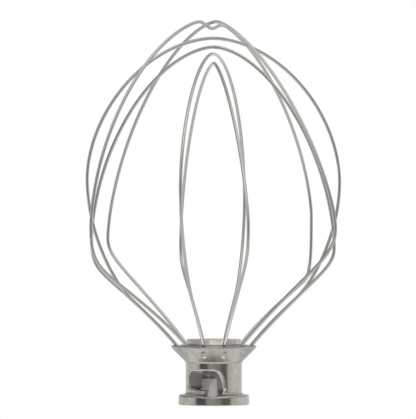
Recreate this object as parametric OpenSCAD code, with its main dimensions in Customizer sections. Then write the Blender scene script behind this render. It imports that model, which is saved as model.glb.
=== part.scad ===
// Wire whip for a stand mixer: a cast hub that carries six loops of steel wire.
// The hub's foot stands on the plane z = 0, on the Z axis. The window in its neck faces -Y.
// A bearing is an angle about the Z axis, from the front (-Y) towards +X.
// Pairs of values are for the front leg and then the back leg of a loop.
// Heights of the loops are above the ledge of the hub that the wires leave from.

/* [Overall] */
// Height from the foot of the hub to the top of the highest crown
whip_h = 184.7; // [165:0.1:200]

/* [Wire] */
// Diameter of the wire
wire_d = 1.6; // [1.2:0.1:2]
// Clearance all round a wire in its hole
wire_gap = 0.05; // [0.02:0.01:0.1]
// Clearance between the end of a wire and the bottom of its hole
wire_end_gap = 0.2; // [0.1:0.05:0.4]
// Length of wire that sits in the hub
wire_seat = 6; // [4:0.5:7]
// Length from the ledge to the turning point of the first easy bend
foot_bend = 12.5; // [8:0.5:16]

/* [Hub] */
// Diameter of the foot flange
flange_d = 34; // [31:0.5:38]
// Height of the foot flange
flange_h = 5; // [4.5:0.1:7]
// Rounding of the flange's edges
flange_round = 0.7; // [0.2:0.1:1]
// Diameter of the neck
neck_d = 27; // [25:0.5:29]
// Height of the neck above the flange
neck_h = 15.4; // [14:0.1:20]
// Diameter of the rim
rim_d = 41; // [39:0.5:46]
// Height of the cone between the neck and the rim
cone_h = 6.5; // [5:0.1:9]
// Height of the rim's upright band
rim_band = 0.9; // [0.5:0.1:2]
// Height of the rim's chamfer
rim_chamfer_h = 1.1; // [0.6:0.1:1.5]
// Width of the rim's chamfer
rim_chamfer_w = 1.9; // [1:0.1:2.4]
// Depth of the thin groove round the rim
rim_groove = 0.35; // [0.2:0.05:0.5]
// Diameter of the boss inside the ring of wires
boss_d = 27; // [20:0.5:30]
// Height of the boss above the ledge
boss_h = 2.5; // [1.5:0.1:5]
// Rounding of the boss's upper edge
boss_round = 0.4; // [0.1:0.1:0.8]

/* [Wire holes] */
// Angle between one wire hole and the next, seen from above
hole_step_angle = 30; // [28:0.5:30]
// Distance of the hole's centre in from the rim
hole_inset = 1.5; // [1.2:0.1:2.5]
// Angle by which the holes are steeper than the cone
hole_lean_angle = 7; // [4:0.5:9]
// Radius of the punch that stakes a wire in its hole
stake_r = 1.4; // [1:0.1:2]
// Depth of a stake mark
stake_depth = 0.5; // [0.2:0.05:0.7]

/* [Shaft socket] */
// Diameter of the bore for the drive shaft
bore_d = 13; // [12:0.1:14]
// Thickness of the metal above the bore
bore_roof = 7.4; // [5:0.1:10]
// Size of the chamfer at the mouth of the bore
bore_chamfer = 0.8; // [0.3:0.1:1.2]
// Width of the way up inside the bore for the shaft's pin
keyway_w = 4.6; // [3.5:0.1:5]
// Depth of that way in the wall
keyway_depth = 2.6; // [1.5:0.1:4]

/* [Lock window] */
// Height of metal between the window and the cone
window_shoulder = 3.5; // [2:0.1:4]
// Height of the slot that the pin turns along
slot_h = 8.6; // [6:0.1:9]
// Bearing of the slot's round end
slot_end_angle = 54; // [45:1:56]
// Fall of the slot's lower edge from its round end to the pocket
slot_fall = 1.4; // [0:0.1:2]
// Drop of the pocket that holds the pin, below the slot
pocket_drop = 4.4; // [2:0.1:4.4]
// Distance of the pocket's left side from the middle
pocket_left = 5.2; // [4:0.1:5.5]
// Distance of the pocket's right side from the middle
pocket_right = 3; // [2:0.1:4]
// Distance of the window's right corner from the middle
window_right = 5.8; // [5:0.1:6.2]
// Distance of the window's upper right corner from the middle
window_top_right = 1.5; // [0.5:0.1:3]
// Rounding at the bottom of the pocket
pocket_round = 2.4; // [1:0.1:2.8]

/* [Whip] */
// Height at which the legs of the round loops start to bend
round_bend_z = 22.1; // [18:0.1:28]
// Height at which the legs of the kneed loops start to bend
kneed_bend_z = 28.6; // [22:0.1:32]
// Pull of the leg and of the side on the bend of a round loop
round_pull_ratio = [0.33, 0.72]; // [0.2:0.01:0.95]
// Pull of the leg and of the side on the bend of a kneed loop
kneed_pull_ratio = [0.76, 0.95]; // [0.2:0.01:0.98]

/* [Loop 1, round, across] */
// Reach from the axis
reach_1 = [62.4, 63.1]; // [55:0.1:70]
// Height of the widest place
widest_1 = [79.4, 78.5]; // [70:0.1:90]
// Slope of the legs
slope_angle_1 = [41.8, 41.3]; // [38:0.1:46]
// Fullness of the crown
fullness_ratio_1 = [1.86, 1.86]; // [1.6:0.01:2.2]
// Gap under the crown of loop 5
crown_gap_1 = 3.3; // [1:0.1:6]

/* [Loop 2, kneed, across] */
// Reach from the axis
reach_2 = [59.3, 61.2]; // [55:0.1:70]
// Height of the widest place
widest_2 = [46.9, 49.9]; // [44:0.1:60]
// Slope of the legs
slope_angle_2 = [43.3, 40.1]; // [36:0.1:46]
// Fullness of the crown
fullness_ratio_2 = [1.7, 1.76]; // [1.4:0.01:2.2]
// Gap under the crown of loop 1
crown_gap_2 = 2.6; // [1:0.1:6]

/* [Loop 3, round, front to back] */
// Reach from the axis
reach_3 = [60.2, 59]; // [52:0.1:70]
// Height of the widest place
widest_3 = [74.5, 70.3]; // [62:0.1:88]
// Slope of the legs
slope_angle_3 = [44.6, 42.7]; // [38:0.1:48]
// Fullness of the crown
fullness_ratio_3 = [1.77, 1.94]; // [1.5:0.01:2.2]
// Gap under the crown of loop 2
crown_gap_3 = 1.7; // [1:0.1:6]

/* [Loop 4, kneed, front to back] */
// Reach from the axis
reach_4 = [61.6, 63.3]; // [55:0.1:70]
// Height of the widest place
widest_4 = [56, 47.9]; // [44:0.1:66]
// Slope of the legs
slope_angle_4 = [44, 39.3]; // [36:0.1:48]
// Fullness of the crown
fullness_ratio_4 = [1.42, 1.67]; // [1.3:0.01:2.2]
// Gap under the crown of loop 3
crown_gap_4 = 2.9; // [1:0.1:6]

/* [Loop 5, kneed, corner to corner, lower] */
// Reach from the axis
reach_5 = [68.2, 60.8]; // [55:0.1:75]
// Turn of each widest place away from its hole, towards the side
swing_angle_5 = [13.1, 7.5]; // [0:0.1:15]
// Height of the widest place
widest_5 = [55.8, 61.2]; // [46:0.1:70]
// Slope of the legs
slope_angle_5 = [35.9, 35]; // [33:0.1:44]
// Fullness of the crown
fullness_ratio_5 = [1.65, 1.52]; // [1.4:0.01:2.2]
// Rise of the crown beside the crossing, above the crown of loop 6
crown_rise_5 = 1.1; // [0:0.1:3]
// Gap under the crown of loop 6 where the two loops cross
crown_gap_5 = 1.6; // [0.5:0.1:4]
// Half width of the dip where the crown passes under loop 6
dip_reach = 4.5; // [3.5:0.1:8]

/* [Loop 6, kneed, corner to corner, upper] */
// Reach from the axis
reach_6 = [67.6, 63.7]; // [55:0.1:75]
// Turn of each widest place away from its hole, towards the side
swing_angle_6 = [12.8, 9.5]; // [0:0.1:15]
// Height of the widest place
widest_6 = [56.2, 51]; // [46:0.1:66]
// Slope of the legs
slope_angle_6 = [41.7, 43.1]; // [36:0.1:46]
// Fullness of the crown
fullness_ratio_6 = [1.43, 1.58]; // [1.35:0.01:2.2]

/* [Hidden] */

// Overlap of a cutter past the face that it cuts
over = 1;
// Lap of the slot over its round end as a bearing, and how much lower that end is
end_lap_angle = 3;
end_step = 0.2;
// Angle from one end of a loop to the other, and from the widest place to the crown
half_turn_angle = 180;
quarter_turn_angle = 90;
// Sides of a wire, and points along one stretch of a leg, of a bend and of a crown
wire_sides = 10;
leg_steps = 5;
bend_steps = 12;
crown_steps = 22;
// Points in a rounded edge or corner
round_steps = 6;

// Levels of the hub
cone_foot_z = flange_h + neck_h;
rim_z = cone_foot_z + cone_h;
ledge_z = rim_z + rim_band + rim_chamfer_h;
hub_h = ledge_z + boss_h;
bore_top_z = hub_h - bore_roof;

// The wire holes: where they leave the ledge, and how they slope
hole_r = wire_d / 2 + wire_gap;
hole_circle_r = rim_d / 2 - hole_inset;
cone_slope = atan2(cone_h, (rim_d - neck_d) / 2);
hole_tilt = cone_slope + hole_lean_angle;

// The lock window
window_top_z = cone_foot_z - window_shoulder;
slot_foot_z = window_top_z - slot_h;
slot_mid_z = window_top_z - slot_h / 2;
pocket_foot_z = slot_foot_z - pocket_drop;

// Crowns, from the highest down, as heights of the wire's middle above the ledge
crown_6 = whip_h - wire_d / 2 - ledge_z;
crossing_5 = crown_6 - wire_d - crown_gap_5;
crown_5 = crown_6 + crown_rise_5;
crown_1 = crossing_5 - wire_d - crown_gap_1;
crown_2 = crown_1 - wire_d - crown_gap_2;
crown_3 = crown_2 - wire_d - crown_gap_3;
crown_4 = crown_3 - wire_d - crown_gap_4;

// Bearing of each loop's front hole, and the side of the axis that it lies on
front = [-2.5, 2.5, -0.5, 0.5, -1.5, 1.5] * hole_step_angle;
side = [for (b = front) sign(b)];
round_bend = [round_bend_z, round_pull_ratio];
kneed_bend = [kneed_bend_z, kneed_pull_ratio];
// One row for each loop: bearings of the holes, bearings of the widest places,
// reach, widest height, slope, fullness, height of the crown, start and pull of the bend
loops = [
    loop(0, [0, 0], reach_1, widest_1, slope_angle_1, fullness_ratio_1, crown_1, round_bend),
    loop(1, [0, 0], reach_2, widest_2, slope_angle_2, fullness_ratio_2, crown_2, kneed_bend),
    loop(2, [0, 0], reach_3, widest_3, slope_angle_3, fullness_ratio_3, crown_3, round_bend),
    loop(3, [0, 0], reach_4, widest_4, slope_angle_4, fullness_ratio_4, crown_4, kneed_bend),
    loop(4, swing_angle_5, reach_5, widest_5, slope_angle_5, fullness_ratio_5, crown_5, kneed_bend),
    loop(5, swing_angle_6, reach_6, widest_6, slope_angle_6, fullness_ratio_6, crown_6, kneed_bend)
];

function loop(i, swing, reach, widest, slope, fullness, crown, bend) = [
    [front[i], front[i] + half_turn_angle],
    [front[i] + side[i] * swing[0], front[i] + half_turn_angle + side[i] * swing[1]],
    reach, widest, slope, fullness, crown, bend
];

// Unit vector in plan at a bearing
function plan(bearing) = [sin(bearing), -cos(bearing)];
// A plan point with a height
function raise(p, z) = [p[0], p[1], z];
// Point of a line that is nearest to the axis
function nearest_to_axis(a, b) = a - (b - a) * (a * (b - a)) / ((b - a) * (b - a));
// Point where the line from a to b crosses the line from c to d
function crossing(a, b, c, d) =
    a + (b - a) * cross(c - a, d - c) / cross(b - a, d - c);
// Points on a curve of Bezier's kind with two and with one inner point
function cubic(a, b, c, d, t) =
    pow(1 - t, 3) * a + 3 * pow(1 - t, 2) * t * b + 3 * (1 - t) * t * t * c + pow(t, 3) * d;
function quadratic(a, b, c, t) = pow(1 - t, 2) * a + 2 * (1 - t) * t * b + t * t * c;
// Arc of a corner, as points in the plane
function arc(centre, r, from, to) =
    [for (k = [0 : round_steps]) centre + r * [cos(from + (to - from) * k / round_steps),
                                               sin(from + (to - from) * k / round_steps)]];

// Place in plan of a loop's hole and of its widest place, k = 0 in front and 1 at the back
function hole_at(i, k) = hole_circle_r * plan(loops[i][0][k]);
function knee_at(i, k) = loops[i][2][k] * plan(loops[i][1][k]);
// Place in plan of the crown's middle
function top_at(i) = nearest_to_axis(knee_at(i, 0), knee_at(i, 1));

// Side view of one leg up to its widest place, as distance from the hole and height
function leg(across, widest, slope, bend_z, pull) =
    let (
        along = [cos(hole_tilt), sin(hole_tilt)],
        mouth = [0, 0],
        turn = mouth + foot_bend * along,
        start = [turn[0] + (bend_z - turn[1]) / tan(slope), bend_z],
        meet_z = min(turn[1] + (across - turn[0]) * tan(slope), widest - wire_d),
        meet = [across, meet_z],
        end = [across, widest]
    )
    concat(
        [mouth - wire_seat * along],
        [for (k = [0 : leg_steps - 1]) quadratic(mouth, turn, start, k / leg_steps)],
        [for (k = [0 : bend_steps - 1])
            cubic(start, start + (meet - start) * pull[0], end + (meet - end) * pull[1], end,
                  k / bend_steps)]
    );

// Half of a loop, from the bottom of its hole to just before the crown's middle
function half(i, k) =
    let (
        row = loops[i],
        hole = hole_at(i, k),
        knee = knee_at(i, k),
        top = top_at(i),
        across = norm(knee - hole),
        out = (knee - hole) / across,
        widest = row[3][k],
        power = 2 / row[5][k]
    )
    concat(
        [for (p = leg(across, widest, row[4][k], row[7][0], row[7][1]))
            raise(hole + out * p[0], ledge_z + p[1])],
        [for (s = [0 : crown_steps - 1])
            let (w = quarter_turn_angle * s / crown_steps)
            raise(top + (knee - top) * pow(cos(w), power),
                  ledge_z + widest + (row[6] - widest) * pow(sin(w), power))]
    );

function reverse(list) = [for (k = [len(list) - 1 : -1 : 0]) list[k]];

// The whole centre line of a loop
function centre_line(i) =
    concat(half(i, 0), [raise(top_at(i), ledge_z + loops[i][6])], reverse(half(i, 1)));

// The lower corner loop dips where it passes under the upper one
crossing_at = crossing(knee_at(4, 0), knee_at(4, 1), knee_at(5, 0), knee_at(5, 1));
function dipped(path) =
    [for (p = path)
        let (away = norm([p[0], p[1]] - crossing_at) / dip_reach)
        p[2] < ledge_z + crown_6 / 2 ? p : p - [0, 0, (crown_5 - crossing_5) * exp(-away * away)]];

// Round bar of the wire's size along a path that stays near an upright plane
module bar(path, plane_normal) {
    last = len(path) - 1;
    rings = [for (k = [0 : last])
        let (
            ahead = path[min(k + 1, last)] - path[max(k - 1, 0)],
            t = ahead / norm(ahead),
            u_raw = cross(plane_normal, t),
            u = u_raw / norm(u_raw),
            v = cross(t, u)
        )
        for (s = [0 : wire_sides - 1])
            path[k] + wire_d / 2 * (cos(360 * s / wire_sides) * u + sin(360 * s / wire_sides) * v)];
    n = wire_sides;
    sides = [for (k = [0 : last - 1], s = [0 : n - 1], half = [0, 1])
        half == 0
            ? [k * n + s, (k + 1) * n + s, (k + 1) * n + (s + 1) % n]
            : [k * n + s, (k + 1) * n + (s + 1) % n, k * n + (s + 1) % n]];
    start_cap = [for (s = [0 : n - 1]) s];
    end_cap = [for (s = [n - 1 : -1 : 0]) last * n + s];
    polyhedron(points = rings, faces = concat(sides, [start_cap, end_cap]), convexity = 10);
}

module wire_loop(i) {
    chord = knee_at(i, 1) - knee_at(i, 0);
    path = i == 4 ? dipped(centre_line(i)) : centre_line(i);
    color("lightsteelblue")
        bar(path, raise([-chord[1], chord[0]] / norm(chord), 0));
}

// Outline of the turned outside, from the axis at the foot round to the axis at the top
module hub_outline() {
    flange_r = flange_d / 2;
    neck_r = neck_d / 2;
    rim_r = rim_d / 2;
    boss_r = boss_d / 2;
    polygon(concat(
        [[0, 0]],
        arc([flange_r - flange_round, flange_round], flange_round, -90, 0),
        arc([flange_r - flange_round, flange_h - flange_round], flange_round, 0, 90),
        arc([neck_r + flange_round, flange_h + flange_round], flange_round, -90, -180),
        [
            [neck_r, cone_foot_z],
            [rim_r, rim_z],
            [rim_r, rim_z + rim_band - rim_groove],
            [rim_r - rim_groove, rim_z + rim_band - rim_groove / 2],
            [rim_r, rim_z + rim_band],
            [rim_r - rim_chamfer_w, ledge_z],
            [boss_r, ledge_z]
        ],
        arc([boss_r - boss_round, hub_h - boss_round], boss_round, 0, 90),
        [[0, hub_h]]
    ));
}

// Bore with its mouth chamfer, and the way up inside it for the pin
module socket() {
    translate([0, 0, -over])
        cylinder(h = bore_top_z + over, d = bore_d, $fn = 96);
    translate([0, 0, -over])
        cylinder(h = bore_chamfer + over, r1 = bore_d / 2 + bore_chamfer + over, r2 = bore_d / 2,
                 $fn = 96);
    rotate([0, 0, -slot_end_angle])
        translate([-keyway_w / 2, -bore_d / 2 - keyway_depth, -over])
            cube([keyway_w, bore_d / 2 + keyway_depth, slot_mid_z + over]);
}

// Outline of the window, seen from the front, with the height up the page
module window_outline() {
    slot_left = neck_d / 2 * sin(slot_end_angle);
    polygon(concat(
        [
            [-flange_d / 2 - over, window_top_z],
            [-flange_d / 2 - over, slot_foot_z],
            [-slot_left, slot_foot_z],
            [-pocket_left, slot_foot_z - slot_fall]
        ],
        arc([-pocket_left + pocket_round, pocket_foot_z + pocket_round], pocket_round, 180, 270),
        arc([pocket_right - pocket_round, pocket_foot_z + pocket_round], pocket_round, -90, 0),
        [
            [window_right, slot_foot_z - slot_fall / 2],
            [window_right * 2 / 3, window_top_z - slot_h / 4],
            [window_top_right, window_top_z]
        ]
    ));
}

// The slot goes round the neck to its round end, and the pocket drops from its right end
module window() {
    reach_out = flange_d / 2 + over;
    intersection() {
        rotate([90, 0, 0])
            linear_extrude(height = reach_out)
                window_outline();
        rotate([0, 0, -90 - slot_end_angle - end_lap_angle])
            rotate_extrude(angle = slot_end_angle + end_lap_angle + 90, $fn = 96)
                square([2 * reach_out, hub_h]);
    }
    rotate([90, 0, -slot_end_angle])
        translate([0, slot_mid_z, 0])
            cylinder(h = reach_out, d = slot_h - end_step, $fn = 48);
}

// Holes that the wires sit in, drilled down towards the neck along each leg's direction
module wire_holes() {
    for (i = [0 : len(loops) - 1], k = [0, 1]) {
        out = knee_at(i, k) - hole_at(i, k);
        translate(raise(hole_at(i, k), ledge_z))
            rotate([0, 0, atan2(out[0], -out[1])])
                rotate([90 - hole_tilt, 0, 0])
                    translate([0, 0, -wire_seat - wire_end_gap])
                        cylinder(h = wire_seat + wire_end_gap + over, r = hole_r, $fn = 32);
    }
}

// Round marks on the cone where each wire is staked fast
module stakes() {
    lift = stake_r - stake_depth;
    mark_r = (neck_d + rim_d) / 4 + lift * sin(cone_slope);
    mark_z = (cone_foot_z + rim_z) / 2 - lift * cos(cone_slope);
    for (b = front, turn = [0, half_turn_angle])
        rotate([0, 0, b + turn])
            translate([0, -mark_r, mark_z])
                rotate([0, 90, 0])
                    sphere(r = stake_r, $fn = 48);
}

module hub() {
    color("silver")
        difference() {
            rotate_extrude($fn = 128)
                hub_outline();
            socket();
            window();
            wire_holes();
            stakes();
        }
}

hub();
wire_loop(0);  // wire_loop_1
wire_loop(1);  // wire_loop_2
wire_loop(2);  // wire_loop_3
wire_loop(3);  // wire_loop_4
wire_loop(4);  // wire_loop_5
wire_loop(5);  // wire_loop_6
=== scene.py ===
"""A wire whip for a stand mixer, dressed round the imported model.

Lengths are in metres and angles in degrees. The hub stands on z = 0 on the Z axis, and the
window in its neck faces -Y. A bearing is an angle about the Z axis, from -Y towards +X.
"""
import math

import bmesh
import bpy
from mathutils import Euler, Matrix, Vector


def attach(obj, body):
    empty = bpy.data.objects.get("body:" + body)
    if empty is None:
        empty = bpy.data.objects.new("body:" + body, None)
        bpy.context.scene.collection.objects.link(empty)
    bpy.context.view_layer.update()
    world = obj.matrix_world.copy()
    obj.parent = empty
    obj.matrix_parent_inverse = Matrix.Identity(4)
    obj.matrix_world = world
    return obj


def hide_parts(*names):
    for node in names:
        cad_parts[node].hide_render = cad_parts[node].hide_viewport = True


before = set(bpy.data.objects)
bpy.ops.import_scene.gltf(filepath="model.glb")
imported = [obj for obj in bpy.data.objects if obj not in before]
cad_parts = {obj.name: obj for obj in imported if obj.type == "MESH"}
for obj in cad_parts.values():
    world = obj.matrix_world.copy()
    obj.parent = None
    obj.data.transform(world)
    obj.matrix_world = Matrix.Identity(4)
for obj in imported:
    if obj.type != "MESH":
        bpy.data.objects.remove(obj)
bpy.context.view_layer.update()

MM = 0.001

# Wire
WIRE_RADIUS = 0.8 * MM
WIRE_SEAT = 6 * MM
FOOT_BEND = 12.5 * MM
RING_SPACING = 1.1 * MM
RING_SIDES = 20

# Hub, as turned
FLANGE_RADIUS = 17 * MM
FLANGE_HEIGHT = 5 * MM
FLANGE_FOOT_ROUND = 0.4 * MM
FLANGE_TOP_ROUND = 1.3 * MM
NECK_FILLET = 1.4 * MM
NECK_RADIUS = 13.5 * MM
NECK_HEIGHT = 15.4 * MM
RIM_RADIUS = 20.5 * MM
CONE_HEIGHT = 6.5 * MM
RIM_TO_LEDGE = 2 * MM
RIM_LOWER_EDGE = 0.55 * MM
RIM_BAND = 0.6 * MM
RIM_CHAMFER = 0.3 * MM
CREASE_WIDTH = 0.35 * MM
BOSS_RADIUS = 13.5 * MM
BOSS_TOP_RADIUS = 13.1 * MM
BOSS_HEIGHT = 2.5 * MM
BOSS_ROUND = 0.45 * MM
EDGE_ROUND = 0.12 * MM
RUN_LENGTH = 0.7 * MM

# Wire holes, and the marks that stake the wires: a dent below each hole, and under the wires at the
# front and back a mark too, coloured lighter as a painted highlight
HOLE_STEP = 30
HOLE_INSET = 1.5 * MM
HOLE_LEAN = 7
HOLE_CLEARANCE = 0.18 * MM
HOLE_MOUTH = 0.3 * MM
PUNCH_MARK = dict(height=2.9 * MM, radius=2.4 * MM, depth=0.4 * MM)
PUNCH_DENT = dict(height=4.3 * MM, radius=2.4 * MM, depth=0.6 * MM)
STAKE_SPREAD = 1.09

# Shaft socket
BORE_RADIUS = 6.5 * MM
BORE_ROOF = 7.4 * MM
BORE_CHAMFER = 0.8 * MM
# Height where the painted light on the bore's lower wall gives way to the darker mottle
LIT_WALL_TOP = 12.2 * MM
# Painted patch of light on the bore's lower wall: its left edge, how it leans with height, and its
# right edge
LIGHT_PATCH_LEFT = 6.6 * MM
LIGHT_PATCH_LEAN = 0.54
LIGHT_PATCH_RIGHT = 1.5 * MM
RECESS_LEFT = 5.7 * MM
RECESS_RIGHT = 1.2 * MM
RECESS_DEPTH = 0.2 * MM
KEYWAY_WIDTH = 4.6 * MM
KEYWAY_DEPTH = 2.6 * MM
KEYWAY_BEARING = 52

# Lock window
WINDOW_TOP = 16.4 * MM
SLOT_HEIGHT = 8.2 * MM
SLOT_END = 62
SLOT_ROUND = 2.4 * MM
SLOT_FALL = 1.3 * MM
POCKET_DROP = 3.9 * MM
POCKET_LEFT = 4.8 * MM
POCKET_RIGHT = 1.9 * MM
POCKET_ROUND = 1.5 * MM
POCKET_WALL_SPREAD = 3.9 * MM
# Its right side from the pocket up, as (distance from the middle, depth below the top)
WINDOW_SIDE = [(4.2 * MM, 10.6 * MM), (4.9 * MM, 8.6 * MM), (4.2 * MM, 5.4 * MM),
               (3.2 * MM, 2.6 * MM), (1.9 * MM, 0.8 * MM), (-0.6 * MM, 0)]
LIP_TOP = 1.0 * MM
LIP_RIGHT = 1.9 * MM
LIP_LEFT = 1.5 * MM
LIP_POCKET = 0.6 * MM
LIP_TURN = 45
LIP_EDGE_TURN = 10
LIP_STEPS = 8

# Levels of the hub
CONE_FOOT_Z = FLANGE_HEIGHT + NECK_HEIGHT
RIM_Z = CONE_FOOT_Z + CONE_HEIGHT
LEDGE_Z = RIM_Z + RIM_TO_LEDGE
HUB_HEIGHT = LEDGE_Z + BOSS_HEIGHT
BORE_TOP_Z = HUB_HEIGHT - BORE_ROOF
HOLE_CIRCLE = RIM_RADIUS - HOLE_INSET
CONE_SLOPE = math.degrees(math.atan2(CONE_HEIGHT, RIM_RADIUS - NECK_RADIUS))
HOLE_TILT = CONE_SLOPE + HOLE_LEAN

# Share of the alloy's tone from each height up: the turned foot; the cone, darker as painted shade; a
# band at the ledge, much darker as a painted shadow in the crease at the boss's foot; the boss,
# lighter
TONE_AND_PAINTED_SHADE_BY_HEIGHT = [(0, 1), (CONE_FOOT_Z, 0.9), (LEDGE_Z - 0.35 * MM, 0.45),
               (LEDGE_Z + 0.1 * MM, 1.28)]

# How a leg leaves its straight stretch: the height where it starts to bend, and how strongly
# the leg and the side pull on the bend
ROUND_BEND = dict(bend_z=22.1 * MM, pull=(0.33, 0.72))
KNEED_BEND = dict(bend_z=28.6 * MM, pull=(0.76, 0.95))

# The six loops. Pairs are for the front leg and the back leg. Heights are above the ledge.
LOOPS = [
    dict(node="wire_loop_1", hole=-2.5 * HOLE_STEP, swing=(0, 0),
         reach=(62.4 * MM, 63.1 * MM), widest=(79.4 * MM, 78.5 * MM),
         slope=(41.8, 41.3), fullness=(1.81, 1.83), crown=146.9 * MM, **ROUND_BEND),
    dict(node="wire_loop_2", hole=2.5 * HOLE_STEP, swing=(0, 0),
         reach=(59.3 * MM, 61.2 * MM), widest=(46.9 * MM, 49.9 * MM),
         slope=(43.3, 40.1), fullness=(1.7, 1.76), crown=142.7 * MM, **KNEED_BEND),
    dict(node="wire_loop_3", hole=-0.5 * HOLE_STEP, swing=(0, 0),
         reach=(60.2 * MM, 59.0 * MM), widest=(74.5 * MM, 70.3 * MM),
         slope=(44.6, 42.7), fullness=(1.77, 1.94), crown=139.4 * MM, **ROUND_BEND),
    dict(node="wire_loop_4", hole=0.5 * HOLE_STEP, swing=(0, 0),
         reach=(61.6 * MM, 63.3 * MM), widest=(56.0 * MM, 47.9 * MM),
         slope=(44.0, 39.3), fullness=(1.42, 1.67), crown=134.9 * MM, **KNEED_BEND),
    dict(node="wire_loop_5", hole=-1.5 * HOLE_STEP, swing=(13.1, 7.5),
         reach=(68.2 * MM, 60.3 * MM), widest=(55.8 * MM, 61.2 * MM),
         slope=(35.9, 35.0), fullness=(1.71, 1.60), crown=156.1 * MM, **KNEED_BEND),
    dict(node="wire_loop_6", hole=1.5 * HOLE_STEP, swing=(12.8, 9.5),
         reach=(67.6 * MM, 63.7 * MM), widest=(56.2 * MM, 51.0 * MM),
         slope=(41.7, 43.1), fullness=(1.43, 1.58), crown=155.0 * MM, **KNEED_BEND),
]
LOWER_CORNER_LOOP = LOOPS[4]
UPPER_CORNER_LOOP = LOOPS[5]

# Where the lower corner loop dips to pass under the upper one
CROSSING_GAP = 1.6 * MM
DIP_REACH = 4.5 * MM

# Steps along a leg, a bend and half a crown
LEG_STEPS = 10
BEND_STEPS = 40
CROWN_STEPS = 90

# Camera and stage
CAMERA_X = -2.8 * MM
CAMERA_HEIGHT = 80 * MM
CAMERA_DISTANCE = 1.8
AIM_HEIGHT = 93.6 * MM
FRAME_HEIGHT = 201.1 * MM
SENSOR = 36
FLOOR_RADIUS = 0.6
FLOOR_GLOW = 0.87
BRIGHT_FLOOR = (0.026, 0.042)
# Tone of the studio by bearing: the far floor seen steeply, the tent below the dark stands, the
# stands, and the tent above them and overhead
STEEP_TONES = [(-180, 0.82), (-150, 0.72), (-120, 0.58), (-95, 0.78), (-75, 0.7), (-48, 0.32),
               (-30, 0.34), (-8, 0.58), (10, 0.7), (38, 0.52), (56, 0.6), (70, 0.56), (98, 0.36),
               (116, 0.37), (140, 0.62), (160, 0.82), (180, 0.84)]
BELOW_TONES = [(-180, 0.58), (-130, 0.62), (-100, 0.95), (-70, 1.2), (-52, 0.75), (-36, 0.3),
               (-20, 0.13), (0, 0.26), (22, 0.43), (38, 0.6), (54, 0.95), (70, 0.8), (95, 0.54),
               (125, 0.6), (150, 0.72), (180, 0.6)]
LOW_TONES = [(-180, 0.78), (-110, 0.72), (-90, 0.8), (-64, 0.66), (-59, 0.11), (-28, 0.11), (-22, 0.4),
             (4, 0.4), (12, 0.3), (24, 0.3), (28, 0.15), (54, 0.15), (59, 0.64), (90, 0.86),
             (180, 0.78)]
WALL_TONES = [(-180, 0.4), (-140, 0.35), (-100, 0.24), (-75, 0.36), (-50, 0.64), (-36, 0.66),
              (-24, 0.36), (8, 0.36), (24, 0.28), (50, 0.37), (80, 0.48), (120, 0.54), (148, 0.7),
              (165, 0.6), (180, 0.4)]
CEILING_TONES = [(-180, 0.44), (-130, 0.51), (-90, 0.46), (-65, 0.5), (-45, 0.72), (-22, 1.02),
                 (0, 1.15), (14, 1.05), (30, 0.8), (46, 0.66), (84, 0.82), (110, 0.65),
                 (150, 0.46), (180, 0.44)]
# Heights of the bands as the sine of the elevation, and reaches on the floor
STANDS_START = (-0.13, -0.09)
WALL_START = (0.12, 0.26)
CEILING_START = (0.4, 0.7)
STEEP_FLOOR = (0.08, 0.11)
NEAR_FLOOR = (0.15, 0.3)
NEAR_TONE = 0.66


def along(bearing):
    """Unit vector in plan at a bearing."""
    turn = math.radians(bearing)
    return Vector((math.sin(turn), -math.cos(turn), 0))


def quadratic(a, b, c, t):
    """Point on a curve of Bezier's kind with one inner point."""
    return (1 - t) ** 2 * a + 2 * (1 - t) * t * b + t * t * c


def cubic(a, b, c, d, t):
    """Point on a curve of Bezier's kind with two inner points."""
    return (1 - t) ** 3 * a + 3 * (1 - t) ** 2 * t * b + 3 * (1 - t) * t * t * c + t ** 3 * d


# The wire loops


def hole_at(loop, back):
    """Where a leg leaves the ledge, in plan."""
    return along(loop["hole"] + 180 * back) * HOLE_CIRCLE


def knee_at(loop, back):
    """Where a loop is widest on one side, in plan."""
    side = math.copysign(1, loop["hole"])
    return along(loop["hole"] + 180 * back + side * loop["swing"][back]) * loop["reach"][back]


def top_at(loop):
    """Middle of the crown, in plan: the point of the loop's line that is nearest the axis."""
    front = knee_at(loop, 0)
    line = knee_at(loop, 1) - front
    return front - line * (front.dot(line) / line.dot(line))


def leg_profile(across, widest, slope, bend_z, pull):
    """One leg up to its widest place, as (distance from the hole, height above the ledge)."""
    tilt = math.radians(HOLE_TILT)
    out = Vector((math.cos(tilt), math.sin(tilt)))
    rise = math.tan(math.radians(slope))
    turn = FOOT_BEND * out
    start = Vector((turn.x + (bend_z - turn.y) / rise, bend_z))
    meet = Vector((across, min(turn.y + (across - turn.x) * rise, widest - 2 * WIRE_RADIUS)))
    end = Vector((across, widest))
    points = [-WIRE_SEAT * out]
    points += [quadratic(Vector((0, 0)), turn, start, k / LEG_STEPS) for k in range(LEG_STEPS)]
    inner = start + (meet - start) * pull[0], end + (meet - end) * pull[1]
    points += [cubic(start, *inner, end, k / BEND_STEPS) for k in range(BEND_STEPS)]
    return points


def half_loop(loop, back):
    """Centre line from the bottom of one hole to just before the crown's middle."""
    hole = hole_at(loop, back)
    knee = knee_at(loop, back)
    top = top_at(loop)
    across = (knee - hole).length
    out = (knee - hole) / across
    widest = loop["widest"][back]
    points = [hole + out * p.x + Vector((0, 0, LEDGE_Z + p.y))
              for p in leg_profile(across, widest, loop["slope"][back], loop["bend_z"], loop["pull"])]
    power = 2 / loop["fullness"][back]
    for k in range(CROWN_STEPS):
        angle = math.pi / 2 * k / CROWN_STEPS
        place = top + (knee - top) * math.cos(angle) ** power
        height = widest + (loop["crown"] - widest) * math.sin(angle) ** power
        points.append(place + Vector((0, 0, LEDGE_Z + height)))
    return points


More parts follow.
